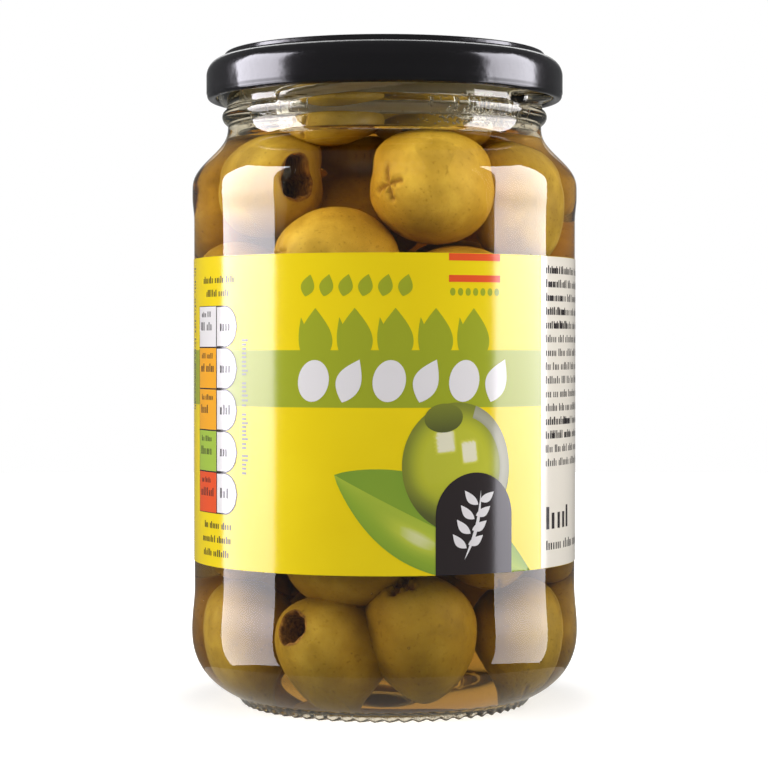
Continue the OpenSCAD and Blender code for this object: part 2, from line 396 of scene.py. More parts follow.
def thread_height(angles, z):
    """How far the glass stands out for the transfer bead and the four threads. Each thread climbs 4.8 mm
    as it goes 72 degrees round, anticlockwise from above, and fades out at its ends."""
    bead = np.sqrt(np.maximum(1.5**2 - (z - BEAD_Z) ** 2, 0)) - 1.5 + 0.96
    middle = -5.5 + 90 * np.round((np.degrees(angles) + 5.5) / 90)
    along = (np.degrees(angles) - middle) / 36
    away = np.abs(z - THREAD_Z - 2.4 * along)
    thread = 1.85 * smooth((1.3 - away) / 0.8) * smooth((1.0 - np.abs(along)) / 0.16)
    return np.maximum(np.maximum(bead, thread), 0)


def inner_wave(angles, r, z):
    """The inner wall's unevenness, which fades out towards the middle of the floor and up the bore."""
    return glass_wave(angles, z, 0.16, 5) * smooth((r - 24) / 6) * smooth((112 - z) / 10)


def jar_glass():
    """The jar as one closed skin round the axis, with slight unevenness from the mould, the bead and
    threads on the neck and the slanting crescents pressed into the standing ring."""
    angles = ring_angles(384)
    outside, inside = outer_profile(), inner_profile()
    r, z = outside[:, :1], outside[:, 1:]
    on_neck = z > WAIST_Z - 0.4
    clear_of_label = smooth((LABEL_BOTTOM - 2 - z) / 3) + smooth((z - LABEL_TOP - 2) / 3)
    where = clear_of_label * smooth((r - STANDING_R) / 4) * smooth((110 - z) / 6)
    wave = glass_wave(angles, z, 0.022, 3) * where
    out_r = r + wave + np.where(on_neck, thread_height(angles, z), 0)
    from_ring = r - STANDING_R
    crescent = 0.5 + 0.5 * np.cos(64 * angles + 2.2 * from_ring)
    out_z = z + 0.45 * crescent * smooth((3.0 - np.abs(from_ring)) / 1.5) * (z < 4)
    in_r = inside[:, :1] + inner_wave(angles, inside[:, :1], inside[:, 1:])
    in_z = np.broadcast_to(inside[:, 1:], in_r.shape)
    points = np.concatenate([around(out_r, out_z, angles), around(in_r, in_z, angles)])
    wet = np.zeros(len(points) - 1, int)
    wet[len(outside):] = inside[:-1, 1] < BRINE_Z + 0.6
    skin = surface(points, poles=(True, True), slot=wet)
    made = piece("jar_glass", [skin], [soda_lime_glass, wetted_glass])
    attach(made, "root")
    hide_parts("jar")


# ---- olives
PIT_R = 2.8
CROSS_REACH = 3.2


def olive_surface(centre, pit_way, width, length, cross=0.32, spin=0.0, *, seed, rows, columns):
    """A pitted olive. From the end with the cross cut its skin is an ellipsoid, a little fuller towards
    the pit hole, with low lumps; then come a torn lip and the bore left by the pit. pit_way points from
    the middle to the pit hole. The cross is two grooves that sink along the axis, cross millimetres to
    either side of their middles and turned by spin degrees. The olives low in the jar are painted a
    little darker, as painted shade for the light that reaches them less."""
    rng = np.random.default_rng(seed)
    u = ring_angles(columns)
    lip = math.degrees(math.acos(min(1, (PIT_R + 0.5) / (width / 2))))
    share = (3 * rows) // 4
    a = np.radians(-90 + (lip + 90) * steps(0, 1, share - 1, False) ** 1.25)[:, None]
    r = width / 2 * np.cos(a) * (1 + 0.05 * np.sin(a))
    z = length / 2 * np.sin(a)
    lump = 0
    for turns, rise in ((1, 1.3), (2, 2.1), (3, 3.2), (2, 4.0)):
        lump = lump + rng.uniform(0.3, 1) * np.sin(turns * u + rise * a + rng.uniform(0, TAU))
    r = r * (1 + 0.012 * lump)
    # The cross: distance from the nearer arm, and along it.
    turned = u + math.radians(spin)
    arms = np.abs([r * np.cos(turned), r * np.sin(turned)])
    off, out = arms.min(0), arms.max(0)
    ragged = cross * (1 + 0.3 * np.sin(5 * out + rng.uniform(0, TAU)))
    near_end = smooth((CROSS_REACH - out) / 0.8) * (a < 0)
    arm = np.exp(-((off / ragged) ** 2)) * near_end
    edge = np.exp(-(((off - 2.3 * cross) / 0.3) ** 2)) * near_end
    skin = np.stack([r * np.cos(u), r * np.sin(u), z + (0.1 + 1.9 * cross**2) * arm - 0.12 * edge], -1)
    # The lip turns in through a rounded edge, and the bore runs down to its closed end.
    torn = 1 + 0.10 * np.sin(3 * u + rng.uniform(0, TAU)) + 0.07 * np.sin(7 * u + rng.uniform(0, TAU))
    top_r, top_z = r[-1], z[-1, 0]
    turn = np.radians(steps(0, 90, 4))[:, None]
    lip_r = top_r + (PIT_R * torn - top_r) * np.sin(turn)
    lip_z = top_z + 0.35 * np.sin(2 * turn) - 0.5 * (1 - np.cos(turn))
    depth = steps(0, 1, rows - share - 4)[:, None]
    bore_r = PIT_R * (torn + (1 - torn) * smooth(depth * 3)) * (1 - 0.12 * depth)
    bore_r = np.concatenate([bore_r[:-1], 0 * bore_r[-1:]])
    bore_z = lip_z[-1, 0] - 0.72 * length * depth
    inside_r = np.concatenate([lip_r, bore_r])
    inside_z = np.broadcast_to(np.concatenate([lip_z, bore_z]), inside_r.shape)
    bore = np.stack([inside_r * np.cos(u), inside_r * np.sin(u), inside_z], -1)
    points = np.concatenate([skin, bore])
    opened = np.clip((0.45 + 1.2 * cross**2) * arm + 0.15 * edge, 0, 1)
    cut = np.concatenate([opened, np.ones(inside_r.shape)])
    up = unit(pit_way)
    side = unit(np.cross(up, (0.3, 0.2, 1.0) if abs(up[2]) < 0.9 else (1.0, 0.2, 0.1)))
    placed = points @ np.stack([side, np.cross(up, side), up]) + centre
    # Each olive's own random tone, times painted shade that darkens the olives low in the jar.
    tone = rng.uniform(0.84, 1.02) * (0.74 + 0.26 * smooth((centre[2] - 25) / 55))
    return surface(placed, poles=(True, True), cut=cut, tone=np.full(cut.shape, tone))


# Olives next to the front of the glass: middle, way of the pit hole, width, length and, for some, the
# width and the turn of the cross.
FRONT_OLIVES = [
    ((-18.6, -15.3, 94.2), (0.42, -0.90, 0.12), 17.2, 20.5),
    ((7.6, -22.2, 94.0), (0.66, 0.75, -0.04), 19.0, 21.5, 0.5, 22.0),
    ((-8.0, -22.6, 81.6), (0.95, 0.28, -0.12), 18.6, 21.0),
    ((11.9, -21.0, 75.0), (0.90, 0.35, -0.10), 18.6, 21.0),
    ((22.0, -13.2, 90.5), (0.10, 0.30, 0.95), 17.6, 20.5),
    ((-21.8, -10.6, 14.6), (0.10, 0.15, 0.98), 17.0, 19.5),
    ((-8.3, -21.0, 13.6), (-0.72, -0.60, 0.34), 16.8, 21.0),
    ((-6.0, -20.8, 29.0), (-0.92, 0.35, 0.15), 18.2, 21.0),
    ((5.6, -22.0, 16.4), (0.28, 0.50, -0.82), 18.3, 21.7, 0.85),
    ((16.0, -16.6, 33.0), (-0.25, 0.30, 0.92), 18.0, 20.5),
    ((21.6, -12.2, 15.0), (-0.20, 0.25, 0.95), 17.0, 19.5),
    ((24.2, 5.6, 15.2), (0.20, 0.95, 0.10), 17.2, 20.0),
    ((-4.0, -7.5, 89.5), (0.95, 0.10, 0.30), 18.0, 21.0),
]


def surface_olive(node, lengths):
    """Middle, pit way, width and length of an olive that breaks the surface, from its CAD node. The box
    gives the middle; lengths gives the way of the long axis, the width and the length."""
    low, high = node_box(node)
    return ((low + high) / 2, *lengths)


def glass_at(z):
    """The inner radius left to an olive's balls at their middle's height, less where the glass closes in."""
    return np.interp(z, [10, 16, 88, 94, 98, 103, 110], [27.5, INNER_R, INNER_R, 32.0, 30.0, 28.0, BORE_R])


def packed_olives(fixed, count, seed):
    """Middles and ways of the olives behind: seeded places and ways, then pushed apart from each other,
    from the fixed ones and from the glass till they lie close. Each counts as three balls along its
    axis, a little thinner than it is, because olives are soft."""
    rng = np.random.default_rng(seed)
    total = len(fixed) + count
    way = unit(rng.normal(size=(total, 3)))
    width = rng.uniform(16.4, 18.4, total)
    length = width * rng.uniform(1.10, 1.22, total)
    angle = rng.uniform(0, TAU, total)
    reach = 24 * np.sqrt(rng.uniform(0.0, 1, total))
    middle = np.stack([reach * np.cos(angle), reach * np.sin(angle), np.linspace(14, 96, total)], -1)
    for i, olive in enumerate(fixed):
        middle[i], way[i], width[i], length[i] = olive[0], unit(olive[1]), olive[2], olive[3]
    ball = 0.94 * width / 2
    apart = length / 2 - ball
    owner = np.repeat(np.arange(total), 3)
    size = ball[owner]
    held = (np.arange(total) < len(fixed))[:, None]

    def three_balls():
        along = (apart[:, None] * [-1, 0, 1])[..., None]
        return (middle[:, None] + way[:, None] * along).reshape(-1, 3)

    for _ in range(700):
        # Out of each other, of the glass, of its floor and of the brine's top, and down by their weight.
        balls = three_balls()
        gap = balls[:, None] - balls[None]
        far = np.linalg.norm(gap, axis=-1) + 1e-9
        need = size[:, None] + size[None] - far
        need[owner[:, None] == owner[None]] = 0
        push = (gap / far[..., None] * np.maximum(need, 0)[..., None]).sum(1)
        r = np.linalg.norm(balls[:, :2], axis=1)
        over = np.maximum(r + size - glass_at(balls[:, 2]) + 0.2, 0)
        push[:, :2] -= balls[:, :2] / (r[:, None] + 1e-9) * over[:, None]
        push[:, 2] += np.maximum(6.0 + size - balls[:, 2], 0)
        push[:, 2] -= np.maximum(balls[:, 2] + size - BRINE_Z, 0)
        step = 0.28 * push.reshape(total, 3, 3).sum(1)
        step[:, 2] -= 0.02
        middle += np.where(held, 0, np.clip(step, -1.5, 1.5))
        # Whatever still reaches the glass at its full width moves straight in.
        balls = three_balls()
        r = np.linalg.norm(balls[:, :2], axis=1)
        over = (r + size / 0.92 - glass_at(balls[:, 2]) + 0.3).reshape(total, 3)
        worst = over.argmax(1)
        most = np.maximum(over[np.arange(total), worst], 0)[:, None]
        inwards = -balls.reshape(total, 3, 3)[np.arange(total), worst, :2]
        middle[:, :2] += np.where(held, 0, most * inwards / (np.linalg.norm(inwards, axis=1)[:, None] + 1e-9))
    return middle[len(fixed):], way[len(fixed):], width[len(fixed):], length[len(fixed):]


def olives():
    """Three pieces of olives: those that stand out of the brine, those at the front and those behind."""
    breaking = [
        surface_olive("olive_1", ((0.62, 0.78, 0.10), 14.7, 18.4)),
        surface_olive("olive_2", ((-0.98, 0.15, 0.14), 16.5, 20.6)),
        surface_olive("olive_3", ((0.24, 0.94, -0.24), 16.8, 21.0)),
    ]
    # Nothing lies in the two gaps between the upper olives.
    up = (0.0, 0.0, 1.0)
    gaps = [((-5.5, -24.0, 97.5), up, 12.0, 14.0), ((3.5, -25.5, 84.5), up, 10.0, 12.0)]
    behind = zip(*packed_olives(breaking + FRONT_OLIVES + gaps, 33, 11))
    for name, lying, skin, seed, rows, columns in (
        ("surface_olives", breaking, olive_wet, 20, 80, 112),
        ("front_olives", FRONT_OLIVES, olive_under_brine, 40, 64, 88),
        ("other_olives", behind, olive_under_brine, 80, 44, 52),
    ):
        grids = [olive_surface(*o, seed=seed + i, rows=rows, columns=columns) for i, o in enumerate(lying)]
        made = piece(name, grids, [skin])
        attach(made, "root")
        if lying is breaking:
            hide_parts("olive_1", "olive_2", "olive_3")
    return breaking


# ---- brine
def brine(breaking):
    """The brine, which reaches 0.1 mm into the glass all round, with a level top that climbs the glass and
    the olives that stand out of it, over about 0.9 mm."""
    angles = ring_angles(256)
    into, climb = 0.1, 0.9
    bottom = inner_profile()[::-1]
    bottom = bottom[bottom[:, 1] < BRINE_Z + 1.6]
    r, z = bottom[:, :1], bottom[:, 1:]
    side_r = (r + inner_wave(angles, r, z) + into) * (r > 0)
    side_z = z - into * smooth((18 - z) / 8)
    edge = side_r[-1]
    inwards = np.concatenate([0.3 * steps(0, 1, 4), 0.3 + 4.7 * steps(0, 1, 10) ** 1.4])
    rings = np.concatenate([inwards, 5 + (edge.mean() - 5.4) * steps(0, 1, 46)])[:, None]
    top_r = np.maximum(edge - rings, 0.2)
    x, y = top_r * np.sin(angles), -top_r * np.cos(angles)
    level = BRINE_Z + (bottom[-1, 1] - BRINE_Z) * np.exp(-np.maximum(rings - into, 0) / climb)
    for centre, way, wide, long in breaking:
        flat = unit([way[0], way[1], 0.0])
        along = (x - centre[0]) * flat[0] + (y - centre[1]) * flat[1]
        across = -(x - centre[0]) * flat[1] + (y - centre[1]) * flat[0]
        cap = math.sqrt(max(1 - ((BRINE_Z - centre[2]) / (wide / 2)) ** 2, 0.04))
        far = np.hypot(along / (long / 2 * cap), across / (wide / 2 * cap))
        level = np.maximum(level, BRINE_Z + 1.5 * np.exp(-np.maximum(far - 1, 0) * wide / 2 * cap / climb))
    sides = around(side_r, side_z, angles)
    top = np.stack([x, y, level], -1)
    centre = np.broadcast_to(np.append([0.0, 0.0], level[-1].mean()), (1, len(angles), 3))
    points = np.concatenate([sides, top, centre])
    slot = np.zeros(len(points) - 1, int)
    slot[len(sides) - 1:] = 1
    skin = surface(points, poles=(True, True), slot=slot)
    made = piece("brine_fill", [skin], [brine_against_glass, brine_surface])
    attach(made, "root")
    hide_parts("brine")


def droplet(angle, z, r, radius, flat):
    """A flattened ball at an angle, a height and a distance from the axis, thinner towards the axis."""
    turn = ring_angles(10)
    rise = np.radians(steps(-90, 90, 6, False))[:, None]
    across = radius * np.cos(rise) * np.cos(turn)
    up = radius * np.cos(rise) * np.sin(turn)
    ball = around(r + flat * radius * np.sin(rise), z + up, angle + across / r)
    return surface(ball, poles=(True, True))


def droplets():
    """Condensed water on the bore over the brine, in two patches at the front and thinly all round, and
    small air bubbles against the glass in the brine."""
    rng = np.random.default_rng(31)
    water = []
    for middle, spread, count in ((40, 13, 380), (-45, 9, 110), (180, 70, 120)):
        around_it = rng.normal(middle, spread, count)
        for angle, z in zip(around_it, rng.uniform(BRINE_Z + 1.8, BRINE_Z + 7.5, count)):
            water.append(droplet(math.radians(angle), z, BORE_R - 0.03, rng.uniform(0.14, 0.36), 0.8))
    air = []
    for angle, z in zip(rng.uniform(0, TAU, 150), rng.uniform(9, 90, 150)):
        size = rng.uniform(0.10, 0.24)
        air.append(droplet(angle, z, INNER_R - 0.45 - size, size, 1.0))
    for name, balls, material in (("condensation", water, condensed_water), ("air_bubbles", air, air_bubble)):
        made = piece(name, balls, [material])
        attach(made, "root")


# ---- lid and its sealing ring
def lacquer_material(name, colour, roughness, peel):
    """Tinplate under a baked gloss lacquer: an even colour with a clear shine, broken only by a faint
    orange peel of about 1.5 mm and by smudges of about 11 mm that dull it a little."""
    material = new_material(name)
    waves = noise(material, 700.0, 1.0)
    smudge = noise(material, 90.0, 4.0)
    rough = between(material, smudge, 0, 0.3, 0.7, roughness - 0.03, roughness + 0.05)
    shader = {"Base Color": linear(colour), "IOR": 1.5}
    return opaque(material, shader, {"Roughness": (rough, 0)}, waves, peel, 0.0001)


LUG_ANGLES = np.radians(-5.5 + 33.8 + 90 * np.arange(4))


def lug_shape(angles, half):
    """1 at the middle of each lug, fading to 0 at half that many degrees each side."""
    away = np.abs((angles[:, None] - LUG_ANGLES + TAU / 8) % (TAU / 4) - TAU / 8).min(1)
    return smooth((math.radians(half) - away) / math.radians(0.45 * half))


def lid():
    """The lid as one closed sheet round the axis: its face from the vacuum button out over the raised
    ring, down a sloping land, round the shoulder and down the skirt to the rolled curl, and back inside.
    The curl is pressed inwards at four lugs, and the skirt above them dips with it."""
    angles = ring_angles(360)
    sheet, curl_r = 0.25, 0.85
    curl_mid, curl_z = SKIRT_R - sheet / 2 - curl_r, LID_LOW[2] + curl_r
    raised_r, panel = SKIRT_R - 3.2, LID_TOP - 0.9
    lid_round, shoulder_z = 3.3, LID_TOP - 4.28

    def rounded(r_from, r_to, z_from, z_to, count):
        t = steps(0, 1, count)
        return path(r_from + (r_to - r_from) * t, z_from + (z_to - z_from) * smooth(t))

    def face(depth):
        """The sheet's outer face, or its inner one at the sheet's depth."""
        return np.concatenate([
            path([0, 6, 12.5], panel - 0.35 - depth),
            rounded(12.5, 14, panel - 0.35 - depth, panel - depth, 5),
            path(steps(14, 26.0, 8), panel - depth),
            rounded(26.0 + depth, 27.3 + depth, panel - depth, LID_TOP - depth, 6),
            path(steps(27.3 + depth, raised_r - 0.55, 4), LID_TOP - depth),
            arc(raised_r - 0.55, LID_TOP - 0.4, 0.4 - depth, steps(90, 18, 6)),
            arc(raised_r + 0.185, LID_TOP - 0.72, 0.2 + depth, steps(198, 250, 4, False)),
            arc(SKIRT_R - lid_round, shoulder_z, lid_round - depth, steps(65, 0, 12, False)),
            path(SKIRT_R - depth, steps(shoulder_z, curl_z + 0.4, 10)),
        ])

    outside, inside = face(0), face(sheet)[::-1]
    curl = arc(curl_mid, curl_z, curl_r, steps(20, -250, 22))
    profile = np.concatenate([outside, curl, inside])
    r, z = profile[:, :1], profile[:, 1:]
    number = np.arange(len(profile))[:, None]
    in_curl = (number >= len(outside)) & (number < len(outside) + len(curl))
    inner_half = in_curl * smooth((curl_mid + 0.5 - r) / 1.0)
    press = lug_shape(angles, 8.5)
    wave = lug_shape(angles, 11.0)
    low_skirt = smooth((curl_z + 4.2 - z) / 3.0) * (r > curl_mid)
    flatten = 1 - 0.45 * inner_half * press
    r = r - 1.05 * inner_half * press - 0.10 * low_skirt * wave * (1 - inner_half)
    z = curl_z + (z - curl_z) * np.where(in_curl, flatten, 1)
    slot = np.zeros(len(profile) - 1, int)
    slot[len(outside) + 14:] = 1
    points = around(r, z, angles)
    # The face's rows run outwards on top, so the grid is turned over to face out.
    made = piece("lid_shell", [surface(points[:, ::-1], poles=(True, True), slot=slot)], [
        lacquer_material("black_lacquered_tinplate", "161517", 0.16, 0.25),
        lacquer_material("cream_lacquered_tinplate", "D9D0B8", 0.30, 0.15),
    ], sharp=40)
    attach(made, "root")
    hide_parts("lid")


def sealing_ring():
    """The gasket's CAD node keeps its shape and gets its finish: cream plastisol, softly matt, with faint
    mottling of about 2 mm from foaming."""
    material = new_material("cream_plastisol")
    mottle = noise(material, 500.0, 3.0)
    colour = ramp(material, mottle, [(0.35, "CFC5AA"), (0.65, "DDD4BC")])
    opaque(material, {"Roughness": 0.55}, {"Base Color": (colour, 0)}, mottle, 0.3, 0.0002)
    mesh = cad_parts["gasket"].data
    mesh.materials.clear()
    mesh.materials.append(material)


# ---- label
def varnished(material, colour):
    """Finishes ink under the label's gloss varnish: a clear shine with a fine grain of about 0.4 mm, where
    the paper's fibres show through."""
    grain = noise(material, 2500.0, 2.0)
    return opaque(material, {"Roughness": 0.13, "IOR": 1.5}, {"Base Color": (colour, 0)}, grain, 0.06, 0.0001)


def paper_material():
    """Coated label paper, all yellow ink under varnish, slightly uneven in tone over 17 mm."""
    material = new_material("varnished_yellow_label_paper")
    tint = noise(material, 60.0, 2.0)
    return varnished(material, ramp(material, tint, [(0.3, "F7DA10"), (0.7, "FBE016")]))


def bare_paper_material():
    """The label's pasted side: uncoated white paper, matt, slightly uneven in tone over 3 mm."""
    material = new_material("bare_label_paper")
    cloud = noise(material, 330.0, 3.0)
    colour = ramp(material, cloud, [(0.3, "D9D3C2"), (0.7, "E6E1D2")])
    return opaque(material, {"Roughness": 0.8}, {"Base Color": (colour, 0)})


def label_paper():
    """The paper as a closed thin shell round the panel, and the flap that is pasted over it at the back."""
    angles = ring_angles(360)
    outline = path([LABEL_R, BODY_R + 0.02, BODY_R + 0.02, LABEL_R, LABEL_R],
                   [LABEL_BOTTOM, LABEL_BOTTOM, LABEL_TOP, LABEL_TOP, LABEL_BOTTOM])
    shell = around(outline[::-1, :1], outline[::-1, 1:], angles)
    inner, outer = LABEL_R - 0.02, LABEL_R + 0.1
    section = path([outer, inner, inner, outer], outline[:4, 1])[::-1]
    flap_angles = math.pi + np.linspace(-3.5, 3.5, 14)[:, None] / LABEL_R
    flap = around(section[:, 0], section[:, 1], flap_angles)
    ends = flap[[0, -1]].mean(1, keepdims=True).repeat(4, axis=1)
    flap = np.concatenate([ends[:1], flap, ends[1:]])[::-1]
    sheets = [surface(shell, ring=True, slot=[0, 1, 1, 1]), surface(flap, poles=(True, True))]
    made = piece("label_paper", sheets, [paper_material(), bare_paper_material()], sharp=35)
    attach(made, "root")
    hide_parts("label")


def ink_material(name, stops):
    """Offset ink under the label's varnish. Its colour runs along the stops by the printed patch's shade,
    from 0 to 1."""
    material = new_material(name)
    shade = add(material, "Attribute", attribute_name="shade")
    return varnished(material, ramp(material, shade, stops, "Fac"))


def plain(colour):
    """The stops of an ink of one colour."""
    return [(0.0, colour), (1.0, colour)]


INKS = {
    "band_green": plain("A6B02C"),
    "white": plain("F1EEF2"),
    "cream": plain("F3EDE2"),
    "red": plain("EF5A2C"),
    "orange": plain("FBB02A"),
    "leaf_green": [(0.0, "5F8A35"), (0.4, "97B43A"), (0.75, "C6D24A"), (1.0, "F0EEC6")],
    "picture_olive": [(0.0, "5E6434"), (0.3, "8F9638"), (0.6, "C3C63A"), (0.8, "DAD95A"), (1.0, "F1EDD2")],
    "picture_shade": [(0.0, "7A7B5A"), (1.0, "B3B29E")],
    "key_green": plain("A9C84A"),
    "dark": [(0.0, "322C2D"), (1.0, "3B3536")],
    "grey": plain("8C8A80"),
}


def printed(u, h, layer, ink, shade=0.0, wrap=False, poles=(False, False)):
    """A printed patch: a grid of places on the flat label, u along it from the front's middle and h up
    from its lower edge, laid on the paper. Each layer of print lies 0.012 mm over the one below."""
    u, h = np.broadcast_arrays(np.asarray(u, float), np.clip(h, 0.0, LABEL_TOP - LABEL_BOTTOM))
    points = around(LABEL_R + 0.012 * layer, LABEL_BOTTOM + h, u / LABEL_R)
    return surface(points, wrap=wrap, poles=poles, slot=list(INKS).index(ink), shade=shade)


def bar(u, h, layer, ink):
    """A printed rectangle between two places along and two places up, with a column each 1.5 mm."""
    along = np.linspace(*u, 2 + int(abs(u[1] - u[0]) / 1.5))
    return printed(along[None, :], np.reshape(h, (2, 1)), layer, ink)


def even(x, y):
    """The shade of a patch whose ink is the same all over."""
    return 0.0


def oval(middle, size, layer, ink, tilt=0.0, rows=4, columns=36, shade=even):
    """A printed oval: rings out from its middle, turned by tilt degrees. shade is a function of the place
    across and up it, each from -1 to 1."""
    turn = -ring_angles(columns)
    t = np.linspace(0, 1, rows)[:, None]
    x, y = t * np.sin(turn), t * np.cos(turn)
    c, s = math.cos(math.radians(tilt)), math.sin(math.radians(tilt))
    u = middle[0] + size[0] / 2 * x * c - size[1] / 2 * y * s
    h = middle[1] + size[0] / 2 * x * s + size[1] / 2 * y * c
    return printed(u, h, layer, ink, shade(x, y), wrap=True, poles=(True, False))


def blade(start, end, half, layer, ink, bow=0.0, part=(-1, 1), shade=even, columns=24):
    """A printed leaf from one tip to the other: its half width swells as a sine along a spine that bows to
    one side. part says how far across it runs, from -1 at one edge to 1 at the other. shade is a function
    of the place along, from 0 to 1, and across."""
    start, end = np.array(start, float), np.array(end, float)
    s = np.linspace(0, 1, columns)[:, None]
    t = np.linspace(*part[::-1], 7)
    along = end - start
    across = np.array([-along[1], along[0]]) / np.linalg.norm(along)
    off = half * np.sin(math.pi * s**0.85) * t + bow * np.sin(math.pi * s)
    u = start[0] + along[0] * s + across[0] * off
    h = start[1] + along[1] * s + across[1] * off
    return printed(u, h, layer, ink, shade(s, t), poles=(True, True))


def text_line(u, h, tall, layer, rng, ink="dark", upright=False):
    """A line of plain strokes that only stands for small print: words of 3 to 9 strokes, each stroke a
    quarter as wide as it is tall. An upright line runs up the label."""
    strokes = []
    at = u[0]
    while at < u[1] - tall:
        for _ in range(rng.integers(3, 10)):
            if at > u[1]:
                break
            high = tall * rng.choice([0.72, 0.72, 1.0])
            span, rise = (at, at + 0.26 * tall), (h, h + high)
            strokes.append(bar(*((rise, span) if upright else (span, rise)), layer, ink))
            at += tall * rng.uniform(0.42, 0.6)
        at += 0.5 * tall
    return strokes


def arch(u, h, layer, ink):
    """A printed panel with a round head: its top is a half circle between its sides."""
    radius = (u[1] - u[0]) / 2
    x = -np.cos(np.linspace(0, math.pi, 28))[None, :]
    top = h[1] - radius + radius * np.sqrt(np.maximum(1 - x**2, 0))
    t = np.linspace(0, 1, 6)[:, None]
    return printed((u[0] + u[1]) / 2 + radius * x, h[0] + (top - h[0]) * t, layer, ink)


def front_of_label():
    """The front's print: the green band with a row of leaves that grows out of it and a row of white
    olives and leaves on it, a small row of leaves above, and two red bars over a row of dots."""
    band = LABEL_R * math.pi - 0.1
    made = [bar((-band, band), (29.0, 38.9), 1, "band_green")]
    for u in -12.2 + 7.05 * np.arange(5):
        made.append(blade((u, 36.0), (u, 46.2), 3.1, 2, "band_green"))
        made.append(blade((u - 1.6, 36.5), (u - 2.7, 44.6), 1.0, 2, "band_green"))
    for i in range(6):
        u = -12.6 + 6.7 * i
        if i % 2 == 0:
            made.append(oval((u, 33.6), (5.7, 7.3), 3, "white", tilt=-12))
        else:
            made.append(blade((u - 1.5, 29.9), (u + 1.6, 37.3), 2.2, 3, "white", bow=0.3))
    for u in -13.6 + 3.45 * np.arange(6):
        made.append(blade((u - 0.5, 48.2), (u + 0.5, 52.0), 1.25, 2, "band_green"))
    for h in ((54.4, 55.65), (50.7, 51.9)):
        made.append(bar((11.3, 21.4), h, 2, "red"))
    for u in 12.0 + 1.45 * np.arange(7):
        made.append(oval((u, 49.0), (1.0, 1.35), 2, "band_green", columns=16))
    return made


def label_picture():
    """The picture: a leaf along a slanting spine, its upper half darker, and a pitted olive before it with
    two soft highlights, a dark hole and a grey shadow down its right side."""
    tip, stem = (-8.8, 17.4), (29.5, -0.9)

    def upper(s, t):
        return 0.18 + 0.25 * smooth((s - 0.1) * 2) * (1 - t) + 0.1 * np.sin(9 * s)

    def lower(s, t):
        glow = np.exp(-(((s - 0.42) / 0.13) ** 2) - (((t + 0.42) / 0.22) ** 2))
        return 0.42 + 0.25 * (t + 0.6) + 0.5 * glow

    leaf = [
        blade(tip, stem, 7.6, 2, "leaf_green", bow=-0.6, part=(0, 1), shade=upper, columns=40),
        blade(tip, stem, 7.8, 2, "leaf_green", bow=-0.6, part=(-1, 0), shade=lower, columns=40),
    ]

    def skin(x, y):
        rim = smooth((np.hypot(x + 0.05, y - 0.05) - 0.55) * 2.2)
        base = 0.62 - 0.42 * rim - 0.25 * smooth((-y - 0.1) * 1.4)
        first = smooth((0.20 - np.abs(x + 0.20)) / 0.08) * smooth((0.20 - np.abs(y - 0.42)) / 0.08)
        second = smooth((0.17 - np.abs(x - 0.22)) / 0.07) * smooth((0.20 - np.abs(y - 0.22)) / 0.08)
        return np.clip(base + 0.5 * np.maximum(first, second), 0, 1)

    def hole(x, y):
        return 0.10 + 0.12 * y

    turn = np.linspace(1.25, -0.75, 26)[None, :]
    t = np.linspace(0.80, 0.995, 4)[:, None]
    middle, size = (13.2, 18.6), (20.4, 22.6)
    shadow_u = middle[0] + size[0] / 2 * t * np.cos(turn)
    shadow_h = middle[1] + size[1] / 2 * t * np.sin(turn)
    return leaf + [
        oval(middle, size, 3, "picture_olive", tilt=6, rows=26, columns=72, shade=skin),
        printed(shadow_u, shadow_h, 4, "picture_shade", 1 - np.abs((t - 0.8) * 4 - 0.3)),
        oval((10.4, 27.2), (7.0, 5.0), 5, "picture_olive", tilt=6, columns=30, shade=hole),
    ]


